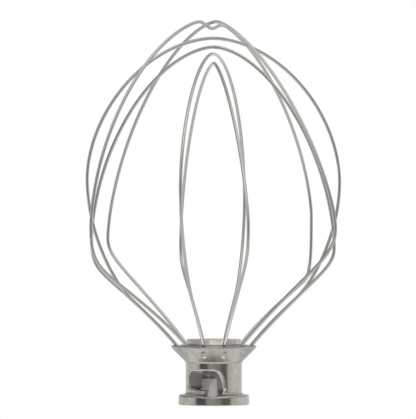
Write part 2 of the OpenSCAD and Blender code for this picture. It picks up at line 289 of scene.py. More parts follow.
def crossing():
    """Where the two corner loops cross, in plan."""
    a, b = knee_at(LOWER_CORNER_LOOP, 0), knee_at(LOWER_CORNER_LOOP, 1)
    c, d = knee_at(UPPER_CORNER_LOOP, 0), knee_at(UPPER_CORNER_LOOP, 1)
    return a + (b - a) * ((c - a).cross(d - c).z / (b - a).cross(d - c).z)


def centre_line(loop):
    """The whole centre line of a loop."""
    middle = top_at(loop) + Vector((0, 0, LEDGE_Z + loop["crown"]))
    points = half_loop(loop, 0) + [middle] + half_loop(loop, 1)[::-1]
    if loop is LOWER_CORNER_LOOP:
        place = crossing()
        under = UPPER_CORNER_LOOP["crown"] - 2 * WIRE_RADIUS - CROSSING_GAP
        for p in points:
            if p.z > LEDGE_Z + UPPER_CORNER_LOOP["crown"] / 2:
                away = (p.xy - place.xy).length / DIP_REACH
                p.z -= (loop["crown"] - under) * math.exp(-away * away)
    return points


def link(tree, *pairs):
    """Joins output sockets to input sockets."""
    for output, entry in pairs:
        tree.links.new(output, entry)


def wire_tree():
    """Geometry nodes that draw a round wire along a path, with its grain kept as an attribute."""
    tree = bpy.data.node_groups.new("wire_along_path", "GeometryNodeTree")
    face = tree.interface
    face.new_socket("Path", in_out="INPUT", socket_type="NodeSocketGeometry")
    face.new_socket("Wire Radius", in_out="INPUT", socket_type="NodeSocketFloat")
    face.new_socket("Ring Spacing", in_out="INPUT", socket_type="NodeSocketFloat")
    face.new_socket("Ring Sides", in_out="INPUT", socket_type="NodeSocketInt")
    face.new_socket("Finish", in_out="INPUT", socket_type="NodeSocketMaterial")
    face.new_socket("Wire", in_out="OUTPUT", socket_type="NodeSocketGeometry")
    new = tree.nodes.new
    given, made = new("NodeGroupInput"), new("NodeGroupOutput")
    curve = new("GeometryNodeMeshToCurve")
    spaced = new("GeometryNodeResampleCurve")
    spaced.mode = "LENGTH"
    length = new("GeometryNodeSplineParameter")
    keep_length = new("GeometryNodeCaptureAttribute")
    keep_length.capture_items.new("FLOAT", "Length")
    ring = new("GeometryNodeCurvePrimitiveCircle")
    place = new("GeometryNodeInputPosition")
    keep_place = new("GeometryNodeCaptureAttribute")
    keep_place.capture_items.new("VECTOR", "Place")
    swept = new("GeometryNodeCurveToMesh")
    swept.inputs["Fill Caps"].default_value = True
    upright = new("ShaderNodeCombineXYZ")
    grain = new("ShaderNodeVectorMath")
    grain.operation = "ADD"
    store = new("GeometryNodeStoreNamedAttribute")
    store.data_type = "FLOAT_VECTOR"
    store.inputs["Name"].default_value = "grain"
    smooth = new("GeometryNodeSetShadeSmooth")
    real = new("GeometryNodeRealizeInstances")
    finish = new("GeometryNodeSetMaterial")
    link(tree,
         (given.outputs["Path"], curve.inputs["Mesh"]),
         (curve.outputs["Curve"], spaced.inputs["Curve"]),
         (given.outputs["Ring Spacing"], spaced.inputs["Length"]),
         (spaced.outputs["Curve"], keep_length.inputs["Geometry"]),
         (length.outputs["Length"], keep_length.inputs["Length"]),
         (given.outputs["Ring Sides"], ring.inputs["Resolution"]),
         (given.outputs["Wire Radius"], ring.inputs["Radius"]),
         (ring.outputs["Curve"], keep_place.inputs["Geometry"]),
         (place.outputs["Position"], keep_place.inputs["Place"]),
         (keep_length.outputs["Geometry"], swept.inputs["Curve"]),
         (keep_place.outputs["Geometry"], swept.inputs["Profile Curve"]),
         (keep_length.outputs["Length"], upright.inputs["Z"]),
         (keep_place.outputs["Place"], grain.inputs[0]),
         (upright.outputs["Vector"], grain.inputs[1]),
         (swept.outputs["Mesh"], store.inputs["Geometry"]),
         (grain.outputs["Vector"], store.inputs["Value"]),
         (store.outputs["Geometry"], smooth.inputs["Geometry"]),
         (smooth.outputs["Geometry"], real.inputs["Geometry"]),
         (real.outputs["Geometry"], finish.inputs["Geometry"]),
         (given.outputs["Finish"], finish.inputs["Material"]),
         (finish.outputs["Geometry"], made.inputs["Wire"]))
    return tree


def set_inputs(modifier, **values):
    """Sets a geometry nodes modifier's inputs, named with _ for each space."""
    sockets = {s.name.replace(" ", "_"): s.identifier
               for s in modifier.node_group.interface.items_tree if s.in_out == "INPUT"}
    for name, value in values.items():
        modifier[sockets[name]] = value


def plain_mesh(piece):
    """Turns what the modifiers of a piece make into its own mesh, and removes them."""
    bpy.context.view_layer.update()
    graph = bpy.context.evaluated_depsgraph_get()
    made = bpy.data.meshes.new_from_object(piece.evaluated_get(graph), depsgraph=graph)
    piece.modifiers.clear()
    made.name = piece.name
    piece.data = made
    return piece


def add_object(name, mesh):
    """A new object in the scene, at the origin."""
    piece = bpy.data.objects.new(name, mesh)
    bpy.context.scene.collection.objects.link(piece)
    return piece


def wire(loop, tree, finish):
    """One loop of the whip as round wire."""
    points = centre_line(loop)
    path = bpy.data.meshes.new(loop["node"])
    path.from_pydata(points, [(k, k + 1) for k in range(len(points) - 1)], [])
    piece = add_object("round_" + loop["node"], path)
    modifier = piece.modifiers.new("wire", "NODES")
    modifier.node_group = tree
    set_inputs(modifier, Wire_Radius=WIRE_RADIUS, Ring_Spacing=RING_SPACING,
               Ring_Sides=RING_SIDES, Finish=finish)
    plain_mesh(piece)
    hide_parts(loop["node"])
    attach(piece, "root")
    return piece


# The hub


def arc(x, z, radius, start, end, steps=6):
    """Points on an arc in a profile, as (distance from the axis, height)."""
    turns = [math.radians(start + (end - start) * k / steps) for k in range(steps + 1)]
    return [(x + radius * math.cos(t), z + radius * math.sin(t)) for t in turns]


def rounded(corners, radius, steps=3):
    """A profile with each inner corner replaced by a small curve."""
    points = [corners[0]]
    for before, corner, after in zip(corners, corners[1:], corners[2:]):
        a, b, c = Vector(before), Vector(corner), Vector(after)
        reach = min(radius, (a - b).length / 2.5, (c - b).length / 2.5)
        start, end = b + (a - b).normalized() * reach, b + (c - b).normalized() * reach
        points += [tuple(quadratic(start, b, end, k / steps)) for k in range(steps + 1)]
    return points + [corners[-1]]


def short_runs(profile):
    """A profile with its long runs divided, save those to the axis, so that cuts in it shade well."""
    points = [profile[0]]
    for (x, z), (next_x, next_z) in zip(profile, profile[1:]):
        run = math.hypot(next_x - x, next_z - z)
        count = math.ceil(run / RUN_LENGTH) if min(x, next_x) > 0 else 1
        points += [(x + (next_x - x) * k / count, z + (next_z - z) * k / count)
                   for k in range(1, count + 1)]
    return points


def turned(name, profile, segments=192):
    """A closed solid turned about the axis from an outline that starts and ends on it."""
    shape = bmesh.new()
    rings = []
    for x, z in profile:
        if x < 1e-9:
            rings.append([shape.verts.new((0, 0, z))] * segments)
        else:
            rings.append([shape.verts.new(along(360 * k / segments) * x + Vector((0, 0, z)))
                          for k in range(segments)])
    for low, high in zip(rings, rings[1:]):
        for k in range(segments):
            n = (k + 1) % segments
            corners = list(dict.fromkeys((low[k], low[n], high[n], high[k])))
            if len(corners) > 2:
                shape.faces.new(corners)
    return to_mesh(name, shape)


def to_mesh(name, shape):
    """A bmesh as an object with its faces pointing outwards."""
    bmesh.ops.recalc_face_normals(shape, faces=shape.faces)
    mesh = bpy.data.meshes.new(name)
    shape.to_mesh(mesh)
    shape.free()
    return add_object(name, mesh)


def hub_profile():
    """Outline of the turned outside, from the axis at the foot round to the axis at the top."""
    edge_z = RIM_Z + RIM_LOWER_EDGE
    corners = [
        (NECK_RADIUS, FLANGE_HEIGHT + 2 * NECK_FILLET),
        (NECK_RADIUS, CONE_FOOT_Z - CREASE_WIDTH),
        (NECK_RADIUS + CREASE_WIDTH, CONE_FOOT_Z + CREASE_WIDTH),
        (RIM_RADIUS - 0.1 * MM, edge_z),
        (RIM_RADIUS, edge_z + 0.1 * MM),
        (RIM_RADIUS, edge_z + RIM_BAND),
        (RIM_RADIUS - RIM_CHAMFER, edge_z + RIM_BAND + RIM_CHAMFER),
        (BOSS_RADIUS, LEDGE_Z),
        (BOSS_TOP_RADIUS, HUB_HEIGHT - BOSS_ROUND),
    ]
    flange_edge = FLANGE_RADIUS - FLANGE_TOP_ROUND
    return (
        [(0, 0)]
        + arc(FLANGE_RADIUS - FLANGE_FOOT_ROUND, FLANGE_FOOT_ROUND, FLANGE_FOOT_ROUND, -90, 0)
        + arc(flange_edge, FLANGE_HEIGHT - FLANGE_TOP_ROUND, FLANGE_TOP_ROUND, 0, 90)
        + arc(NECK_RADIUS + NECK_FILLET, FLANGE_HEIGHT + NECK_FILLET, NECK_FILLET, -90, -180)
        + rounded(corners, EDGE_ROUND)
        + arc(BOSS_TOP_RADIUS - BOSS_ROUND, HUB_HEIGHT - BOSS_ROUND, BOSS_ROUND, 0, 90)
        + [(0, HUB_HEIGHT)]
    )


def surface_radius(z):
    """Radius of the hub's outside at a height on the flange, its fillet or the neck."""
    if z > FLANGE_HEIGHT + NECK_FILLET:
        return NECK_RADIUS
    if z > FLANGE_HEIGHT:
        rise = (FLANGE_HEIGHT + NECK_FILLET - z) / NECK_FILLET
        return NECK_RADIUS + NECK_FILLET * (1 - math.sqrt(1 - rise * rise))
    if z > FLANGE_HEIGHT - FLANGE_TOP_ROUND:
        rise = (z - FLANGE_HEIGHT + FLANGE_TOP_ROUND) / FLANGE_TOP_ROUND
        return FLANGE_RADIUS - FLANGE_TOP_ROUND * (1 - math.sqrt(1 - rise * rise))
    return FLANGE_RADIUS


def window_outline():
    """The window's edge as (distance round the neck from the front, height), going round once."""
    foot = WINDOW_TOP - SLOT_HEIGHT
    pocket = foot - POCKET_DROP
    end = -math.radians(SLOT_END) * NECK_RADIUS

    def round_neck(x):
        return NECK_RADIUS * math.asin(x / NECK_RADIUS)

    left, right = round_neck(-POCKET_LEFT), round_neck(POCKET_RIGHT)
    corners = [(left / 2 + end / 2, foot - SLOT_FALL / 2), (left, foot - SLOT_FALL)]
    corners += arc(left + POCKET_ROUND, pocket + POCKET_ROUND, POCKET_ROUND, 180, 270)
    corners += arc(right - POCKET_ROUND, pocket + POCKET_ROUND, POCKET_ROUND, -90, -50)
    corners += [(round_neck(x), WINDOW_TOP - drop) for x, drop in WINDOW_SIDE]
    path = rounded(corners, 1.2 * MM, steps=8)
    path += arc(end + SLOT_ROUND, WINDOW_TOP - SLOT_ROUND, SLOT_ROUND, 90, 180)
    path += arc(end + SLOT_ROUND, foot + SLOT_ROUND, SLOT_ROUND, 180, 265)
    return evenly(path, 0.3 * MM)


def lip_width(place, out):
    """How wide the rounded lip is: broad beside the slot, narrow round the pocket."""
    side = LIP_RIGHT if out.x > 0 else LIP_LEFT
    width = side * out.x ** 2 + LIP_TOP * out.y ** 2
    height = (place.y - (WINDOW_TOP - SLOT_HEIGHT - SLOT_FALL)) / (1.5 * MM)
    share = min(max(height, 0), 1)
    return LIP_POCKET + (width - LIP_POCKET) * share


def wall_spread(place, out):
    """How far the inner edge of the pocket's left wall stands left of a line to the axis."""
    depth = (WINDOW_TOP - SLOT_HEIGHT - SLOT_FALL - place.y) / (0.8 * MM)
    return POCKET_WALL_SPREAD * min(max(depth, 0), 1) * max(-out.x, 0)


def evenly(path, spacing):
    """A closed line in the plane with its points at even distances."""
    points = [Vector(p) for p in path]
    runs = [(b - a).length for a, b in zip(points, points[1:] + points[:1])]
    total = sum(runs)
    count = round(total / spacing)
    made, k, passed = [], 0, 0
    for n in range(count):
        wanted = total * n / count
        while passed + runs[k] < wanted:
            passed += runs[k]
            k += 1
        part = (wanted - passed) / runs[k]
        made.append(points[k].lerp(points[(k + 1) % len(points)], part))
    return made


def outward(path):
    """Unit vectors that point out of a closed line, which goes round anticlockwise."""
    vectors = []
    for before, after in zip(path[-1:] + path[:-1], path[1:] + path[:1]):
        run = (after - before).normalized()
        vectors.append(Vector((run.y, -run.x)))
    return vectors


def window_cutter():
    """Solid that cuts the window: radial walls, and a rounded lip where they meet the outside."""
    path = window_outline()
    out = outward(path)
    widths = [lip_width(p, n) for p, n in zip(path, out)]
    steep, flat = math.radians(LIP_TURN), math.radians(LIP_EDGE_TURN)
    run = math.sin(steep) - math.sin(flat)
    levels = [[(p - Vector((wall_spread(p, n), 0)), 0.6 * BORE_RADIUS) for p, n in zip(path, out)]]
    for step in range(LIP_STEPS + 2):
        tilt = steep + (flat - steep) * step / LIP_STEPS
        away = (math.sin(steep) - math.sin(tilt)) / run
        depth = (math.cos(flat) - math.cos(tilt)) / run
        moved = [p + n * w * away for p, n, w in zip(path, out, widths)]
        levels.append([(p, surface_radius(p.y) - w * depth) for p, w in zip(moved, widths)])
    levels.append([(p, 2 * NECK_RADIUS) for p in moved])
    shape = bmesh.new()
    rings = [[shape.verts.new(along(math.degrees(p.x / NECK_RADIUS)) * r + Vector((0, 0, p.y)))
              for p, r in level] for level in levels]
    count = len(path)
    for low, high in zip(rings, rings[1:]):
        for k in range(count):
            n = (k + 1) % count
            shape.faces.new((low[k], low[n], high[n], high[k]))
    for ring in (rings[0], rings[-1]):
        bmesh.ops.triangulate(shape, faces=[shape.faces.new(ring)])
    return to_mesh("window_cutter", shape)


def socket_cutter():
    """Bore for the shaft with the chamfer at its mouth."""
    profile = [(0, -MM), (BORE_RADIUS + BORE_CHAMFER + MM, -MM), (BORE_RADIUS, BORE_CHAMFER),
               (BORE_RADIUS, BORE_TOP_Z), (0, BORE_TOP_Z)]
    return turned("socket_cutter", profile, 96)


def keyway_cutter():
    """Way up inside the bore for the shaft's pin."""
    shape = bmesh.new()
    bmesh.ops.create_cube(shape, size=1)
    depth = BORE_RADIUS + KEYWAY_DEPTH
    height = WINDOW_TOP - SLOT_HEIGHT
    turn = Euler((0, 0, math.radians(-KEYWAY_BEARING))).to_matrix()
    for v in shape.verts:
        v.co = turn @ Vector((v.co.x * KEYWAY_WIDTH, (v.co.y - 0.5) * depth,
                              (v.co.z + 0.5) * (height + MM) - MM))
    return to_mesh("keyway_cutter", shape)


def recess_cutter():
    """Flat pocket down the back of the bore."""
    shape = bmesh.new()
    bmesh.ops.create_cube(shape, size=1)
    middle, width = (RECESS_RIGHT - RECESS_LEFT) / 2, RECESS_RIGHT + RECESS_LEFT
    for v in shape.verts:
        v.co = Vector((middle + v.co.x * width, (v.co.y + 0.5) * (BORE_RADIUS + RECESS_DEPTH),
                       (v.co.z + 0.5) * (BORE_TOP_Z - 0.1 * MM + MM) - MM))
    return to_mesh("recess_cutter", shape)


def hole_cutter(loop, back):
    """Hole that a leg sits in, a little wider at its mouth."""
    out = knee_at(loop, back) - hole_at(loop, back)
    radius = WIRE_RADIUS + HOLE_CLEARANCE
    profile = [(0, -WIRE_SEAT - 0.2 * MM), (radius, -WIRE_SEAT - 0.2 * MM),
               (radius, -HOLE_MOUTH), (radius + HOLE_MOUTH, HOLE_MOUTH),
               (radius + HOLE_MOUTH, MM), (0, MM)]
    cutter = turned("hole_cutter", profile, 40)
    turn = Euler((math.radians(90 - HOLE_TILT), 0, math.atan2(out.x, -out.y)), "XYZ").to_matrix()
    place = hole_at(loop, back) + Vector((0, 0, LEDGE_Z))
    for v in cutter.data.vertices:
        v.co = place + turn @ v.co
    return cutter


def stake_cutter(bearing, height, radius, depth):
    """Round punch mark on the cone, at a height above its foot, that stakes a wire in its hole."""
    slope = math.radians(CONE_SLOPE)
    lift = radius - depth
    middle = along(bearing) * (NECK_RADIUS + height / math.tan(slope) + lift * math.sin(slope))
    middle.z = CONE_FOOT_Z + height - lift * math.cos(slope)
    shape = bmesh.new()
    bmesh.ops.create_uvsphere(shape, u_segments=64, v_segments=32, radius=radius)
    for v in shape.verts:
        v.co += middle
    return to_mesh("stake_cutter", shape)


def hub(finishes):
    """The cast hub: turned outside, less the socket, the window, the wire holes and the marks."""
    body = turned("cast_hub", short_runs(hub_profile()))
    socket, window = socket_cutter(), window_cutter()
    inner = [keyway_cutter(), recess_cutter()]
    holes, punched, dented = [], [], []
    for loop in LOOPS:
        for back in (0, 1):
            bearing = STAKE_SPREAD * loop["hole"] + 180 * back
            holes.append(hole_cutter(loop, back))
            dented.append(stake_cutter(bearing, **PUNCH_DENT))
            # The front and back punch marks get a painted highlight
            if abs(loop["hole"]) < HOLE_STEP:
                punched.append(stake_cutter(bearing, **PUNCH_MARK))
    cutters = [socket, window] + inner + holes + punched + dented
    for shape in [body] + cutters:
        for finish in finishes:
            shape.data.materials.append(finish)
    # Faces inside the bore, the window's cut walls, the keyway and the recess take the painted light
    # and shade of the bore
    for face in socket.data.polygons:
        face.material_index = int(face.center.z > BORE_CHAMFER)
    for face in window.data.polygons:
        wall = max(window.data.vertices[k].co.xy.length for k in face.vertices)
        face.material_index = int(wall < NECK_RADIUS - LIP_TOP / 2)
    for group, slot in ((inner, 1), (punched, 2)):
        for cutter in group:
            for face in cutter.data.polygons:
                face.material_index = slot
    for cutter in cutters:
        cut = body.modifiers.new(cutter.name, "BOOLEAN")
        cut.operation = "DIFFERENCE"
        cut.solver = "MANIFOLD"
        cut.object = cutter
    plain_mesh(body)
    for cutter in cutters:
        bpy.data.objects.remove(cutter)
    body.data.shade_smooth()
    body.data.set_sharp_from_angle(angle=math.radians(32))
    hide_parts("hub")
    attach(body, "root")
    return body


# Finishes


def shader_node(tree, kind, **settings):
    """A node with its properties and, as in_NAME, its input values or links."""
    made = tree.nodes.new(kind)
    for name, value in settings.items():
        if not name.startswith("in_"):
            setattr(made, name, value)
    for name, value in settings.items():
        if name.startswith("in_"):
            key = name[3:]
            entry = made.inputs[int(key) if key.isdigit() else key.replace("_", " ")]
            if isinstance(value, bpy.types.NodeSocket):
                tree.links.new(value, entry)
            else:
                entry.default_value = value
    return made


def grey_ramp(tree, share, stops, interpolation="LINEAR"):
    """A ramp of greys, from (position, level) stops."""
    node = shader_node(tree, "ShaderNodeValToRGB", in_Fac=share)
    ramp = node.color_ramp
    ramp.interpolation = interpolation
    while len(ramp.elements) < len(stops):
        ramp.elements.new(0.5)
    for element, (position, level) in zip(ramp.elements, stops):
        element.position = position
        element.color = (level, level, level, 1)
    return node.outputs["Color"]


def surface_wear_group():
    """Shared finish: fine grain and soft blotches, as a height and two masks."""
    tree = bpy.data.node_groups.new("metal_grain", "ShaderNodeTree")
    face = tree.interface
    face.new_socket("Vector", in_out="INPUT", socket_type="NodeSocketVector")
    for name in ("Grain Scale", "Blotch Scale", "Grain Depth"):
        face.new_socket(name, in_out="INPUT", socket_type="NodeSocketFloat")
    for name in ("Grain", "Blotch", "Height"):
        face.new_socket(name, in_out="OUTPUT", socket_type="NodeSocketFloat")
    given = tree.nodes.new("NodeGroupInput").outputs
    made = tree.nodes.new("NodeGroupOutput").inputs
    grain = shader_node(tree, "ShaderNodeTexNoise", in_Vector=given["Vector"],
                        in_Scale=given["Grain Scale"], in_Detail=5, in_Roughness=0.6)
    blotch = shader_node(tree, "ShaderNodeTexNoise", in_Vector=given["Vector"],
                         in_Scale=given["Blotch Scale"], in_Detail=3, in_Roughness=0.5)
    height = shader_node(tree, "ShaderNodeMath", operation="MULTIPLY", in_0=grain.outputs["Fac"],
                         in_1=given["Grain Depth"])
    link(tree, (grain.outputs["Fac"], made["Grain"]), (blotch.outputs["Fac"], made["Blotch"]),
         (height.outputs["Value"], made["Height"]))
    return tree


def new_finish(name):
    """A material with only a Principled BSDF and its output."""
    finish = bpy.data.materials.new(name)
    finish.use_nodes = True
    tree = finish.node_tree
    return finish, tree, tree.nodes["Principled BSDF"]


def drawn_steel(grain_group):
    """Polished drawn wire: fine lines along its length and a faint unevenness of tone."""
    finish, tree, shader = new_finish("drawn_steel_wire")
    place = shader_node(tree, "ShaderNodeAttribute", attribute_name="grain")
    stretched = shader_node(tree, "ShaderNodeMapping", in_Vector=place.outputs["Vector"],
                            in_Scale=(1, 1, 0.03))
    lines = shader_node(tree, "ShaderNodeGroup", node_tree=grain_group,
                        in_Vector=stretched.outputs["Vector"], in_Grain_Scale=4000,
                        in_Blotch_Scale=900, in_Grain_Depth=1)
    tone = shader_node(tree, "ShaderNodeValToRGB", in_Fac=lines.outputs["Blotch"])
    tone.color_ramp.elements[0].position = 0.3
    tone.color_ramp.elements[0].color = (0.60, 0.60, 0.565, 1)
    tone.color_ramp.elements[1].position = 0.7
    tone.color_ramp.elements[1].color = (0.72, 0.72, 0.68, 1)
    rough = shader_node(tree, "ShaderNodeMapRange", in_Value=lines.outputs["Grain"],
                        in_From_Min=0.3, in_From_Max=0.7, in_To_Min=0.08, in_To_Max=0.18)
    bump = shader_node(tree, "ShaderNodeBump", in_Height=lines.outputs["Height"],
                       in_Strength=0.15, in_Distance=0.00002)
    shader.inputs["Metallic"].default_value = 1
    link(tree, (tone.outputs["Color"], shader.inputs["Base Color"]),
         (rough.outputs["Result"], shader.inputs["Roughness"]),
         (bump.outputs["Normal"], shader.inputs["Normal"]))
    return finish


def cast_alloy(grain_group):
    """Satin die casting: fine pits and cloudy tone, with painted shade darkening the cone and the
    crease at the boss's foot, and a lighter boss.
    """
    finish, tree, shader = new_finish("cast_alloy_hub")
    place = shader_node(tree, "ShaderNodeTexCoord")
    cast = shader_node(tree, "ShaderNodeGroup", node_tree=grain_group,
                       in_Vector=place.outputs["Object"], in_Grain_Scale=2600,
                       in_Blotch_Scale=420, in_Grain_Depth=1)
    tone = shader_node(tree, "ShaderNodeValToRGB", in_Fac=cast.outputs["Blotch"])
    tone.color_ramp.elements[0].position = 0.32
    tone.color_ramp.elements[0].color = (0.47, 0.456, 0.415, 1)
    tone.color_ramp.elements[1].position = 0.68
    tone.color_ramp.elements[1].color = (0.57, 0.555, 0.505, 1)
    parts = shader_node(tree, "ShaderNodeSeparateXYZ", in_Vector=place.outputs["Object"])
    level = shader_node(tree, "ShaderNodeMath", operation="DIVIDE", in_0=parts.outputs["Z"],
                        in_1=HUB_HEIGHT)
    # Painted shade by height: the cone a little darker, the crease at the boss's foot much darker, and
    # the boss lighter
    steps = grey_ramp(tree, level.outputs["Value"],
                      [(start / HUB_HEIGHT, share) for start, share in TONE_AND_PAINTED_SHADE_BY_HEIGHT], "CONSTANT")
    tone_and_painted_shade = shader_node(tree, "ShaderNodeMix", data_type="RGBA", blend_type="MULTIPLY", in_0=1,
                        in_6=tone.outputs["Color"], in_7=steps)
    unturned = shader_node(tree, "ShaderNodeMapRange", in_Value=parts.outputs["Z"],
                           in_From_Min=CONE_FOOT_Z - 0.2 * MM, in_From_Max=CONE_FOOT_Z + 0.2 * MM,
                           in_To_Min=0, in_To_Max=0.1)
    speckle = shader_node(tree, "ShaderNodeMapRange", in_Value=cast.outputs["Grain"],
                          in_From_Min=0.3, in_From_Max=0.7, in_To_Min=0.12, in_To_Max=0.22)
    rough = shader_node(tree, "ShaderNodeMath", operation="ADD", in_0=speckle.outputs["Result"],
                        in_1=unturned.outputs["Result"])
    bump = shader_node(tree, "ShaderNodeBump", in_Height=cast.outputs["Height"],
                       in_Strength=0.15, in_Distance=0.00006)
    shader.inputs["Metallic"].default_value = 1
    link(tree, (tone_and_painted_shade.outputs[2], shader.inputs["Base Color"]),
         (rough.outputs["Value"], shader.inputs["Roughness"]),
         (bump.outputs["Normal"], shader.inputs["Normal"]))
    return finish


def struck_alloy_painted_highlight(grain_group):
    """Bottom of a punch mark, coloured lighter as a painted highlight."""
    finish, tree, shader = new_finish("struck_alloy_marks")
    place = shader_node(tree, "ShaderNodeTexCoord")
    struck = shader_node(tree, "ShaderNodeGroup", node_tree=grain_group,
                         in_Vector=place.outputs["Object"], in_Grain_Scale=2600,
                         in_Blotch_Scale=420, in_Grain_Depth=1)
    rough = shader_node(tree, "ShaderNodeMapRange", in_Value=struck.outputs["Grain"],
                        in_From_Min=0.3, in_From_Max=0.7, in_To_Min=0.15, in_To_Max=0.3)
    # Lighter base colour: a painted highlight in the mark
    shader.inputs["Base Color"].default_value = (0.78, 0.765, 0.72, 1)
    shader.inputs["Metallic"].default_value = 1
    link(tree, (rough.outputs["Result"], shader.inputs["Roughness"]))
    return finish


def raw_bore(grain_group):
    """Inside of the socket: darker with a random mottle at the top, and a painted pool of light below,
    paler still in a leaning patch; the front walls, the window's cut sides among them, darker towards
    the left as painted shade.
    """
    finish, tree, shader = new_finish("raw_bore")
    place = shader_node(tree, "ShaderNodeTexCoord")
    cast = shader_node(tree, "ShaderNodeGroup", node_tree=grain_group,
                       in_Vector=place.outputs["Object"], in_Grain_Scale=1800,
                       in_Blotch_Scale=300, in_Grain_Depth=1)
    dark_mottle = shader_node(tree, "ShaderNodeValToRGB", in_Fac=cast.outputs["Blotch"])
    dark_mottle.color_ramp.elements[0].position = 0.35
    dark_mottle.color_ramp.elements[0].color = (0.16, 0.155, 0.135, 1)
    dark_mottle.color_ramp.elements[1].position = 0.65
    dark_mottle.color_ramp.elements[1].color = (0.66, 0.64, 0.59, 1)
    parts = shader_node(tree, "ShaderNodeSeparateXYZ", in_Vector=place.outputs["Object"])
    upper = shader_node(tree, "ShaderNodeMapRange", in_Value=parts.outputs["Z"],
                        in_From_Min=LIT_WALL_TOP - 0.2 * MM, in_From_Max=LIT_WALL_TOP + 0.2 * MM)
    leaning = shader_node(tree, "ShaderNodeMath", operation="MULTIPLY_ADD", in_0=parts.outputs["Z"],
                          in_1=-LIGHT_PATCH_LEAN, in_2=parts.outputs["X"])
    light_patch = shader_node(tree, "ShaderNodeMapRange", in_Value=leaning.outputs["Value"],
                         in_From_Min=-LIGHT_PATCH_LEFT - 0.6 * MM, in_From_Max=-LIGHT_PATCH_LEFT + 0.6 * MM)
    left_part = shader_node(tree, "ShaderNodeMapRange", in_Value=parts.outputs["X"],
                            in_From_Min=LIGHT_PATCH_RIGHT - 0.2 * MM, in_From_Max=LIGHT_PATCH_RIGHT + 0.2 * MM,
                            in_To_Min=1, in_To_Max=0)
    pale = shader_node(tree, "ShaderNodeMath", operation="MULTIPLY", in_0=light_patch.outputs["Result"],
                       in_1=left_part.outputs["Result"])
    # Painted light: the lower wall pale, and paler still in the leaning patch
    lit_wall = shader_node(tree, "ShaderNodeMix", data_type="RGBA", in_0=pale.outputs["Value"],
                        in_6=(0.72, 0.71, 0.68, 1), in_7=(0.99, 0.98, 0.95, 1))
    inside = shader_node(tree, "ShaderNodeMix", data_type="RGBA", in_0=upper.outputs["Result"],
                         in_6=lit_wall.outputs[2], in_7=dark_mottle.outputs["Color"])
    back_wall = shader_node(tree, "ShaderNodeMapRange", in_Value=parts.outputs["Y"],
                            in_From_Min=-0.2 * MM, in_From_Max=0.2 * MM)
    # Painted shade: the front walls darker towards the left
    across = shader_node(tree, "ShaderNodeMapRange", in_Value=parts.outputs["X"],
                         in_From_Min=-BORE_RADIUS, in_From_Max=BORE_RADIUS)
    front_shade = shader_node(tree, "ShaderNodeMix", data_type="RGBA", in_0=across.outputs["Result"],
                         in_6=(0.38, 0.37, 0.345, 1), in_7=(0.9, 0.89, 0.84, 1))
    tone = shader_node(tree, "ShaderNodeMix", data_type="RGBA", in_0=back_wall.outputs["Result"],
                       in_6=front_shade.outputs[2], in_7=inside.outputs[2])
    rough = shader_node(tree, "ShaderNodeMapRange", in_Value=cast.outputs["Grain"],
                        in_From_Min=0.3, in_From_Max=0.7, in_To_Min=0.3, in_To_Max=0.45)
    bump = shader_node(tree, "ShaderNodeBump", in_Height=cast.outputs["Height"],
                       in_Strength=0.4, in_Distance=0.0001)
    shader.inputs["Metallic"].default_value = 0.9
    link(tree, (tone.outputs[2], shader.inputs["Base Color"]),
         (rough.outputs["Result"], shader.inputs["Roughness"]),
         (bump.outputs["Normal"], shader.inputs["Normal"]))
    return finish


# Camera, light and stage


def camera():
    """Camera level with the middle of the whip, at the photograph's distance and framing."""
    data = bpy.data.cameras.new("camera")
    data.sensor_fit = "VERTICAL"
    data.sensor_height = SENSOR
    data.lens = SENSOR * CAMERA_DISTANCE / FRAME_HEIGHT
    data.clip_end = 50
    eye = bpy.data.objects.new("camera", data)
    bpy.context.scene.collection.objects.link(eye)
    eye.location = (CAMERA_X, -CAMERA_DISTANCE, CAMERA_HEIGHT)
    aim = Vector((CAMERA_X, 0, AIM_HEIGHT)) - eye.location
    eye.rotation_euler = aim.to_track_quat("-Z", "Y").to_euler()
    bpy.context.scene.camera = eye


def panel(name, place, width, height, radiance):
    """A soft lamp that faces the middle of the whip, with the brightness that it shows."""
    data = bpy.data.lights.new(name, "AREA")
    data.shape = "RECTANGLE"
    data.size = width
    data.size_y = height
    data.energy = radiance * math.pi * width * height
    lamp = bpy.data.objects.new(name, data)
    bpy.context.scene.collection.objects.link(lamp)
    lamp.location = place
    aim = Vector((0, 0, AIM_HEIGHT)) - lamp.location
    lamp.rotation_euler = aim.to_track_quat("-Z", "Y").to_euler()
    return lamp


def bearing_share(tree, direction):
    """Bearing of a direction as a share of the whole turn, from -180 to 180 degrees."""
    parts = shader_node(tree, "ShaderNodeSeparateXYZ", in_Vector=direction)
    front = shader_node(tree, "ShaderNodeMath", operation="MULTIPLY", in_0=parts.outputs["Y"],
                        in_1=-1)
    bearing = shader_node(tree, "ShaderNodeMath", operation="ARCTAN2", in_0=parts.outputs["X"],
                          in_1=front.outputs["Value"])
    share = shader_node(tree, "ShaderNodeMapRange", in_Value=bearing.outputs["Value"],
                        in_From_Min=-math.pi, in_From_Max=math.pi)
    return share.outputs["Result"]


def blend(tree, share, first, second):
    """Mix of two colours by a share of the second."""
    mix = shader_node(tree, "ShaderNodeMix", data_type="RGBA", in_0=share, in_6=first, in_7=second)
    return mix.outputs[2]


def tone_ramp(tree, share, tones):
    """Tone by bearing, from a share of the whole turn."""
    return grey_ramp(tree, share, [((angle + 180) / 360, level) for angle, level in tones])


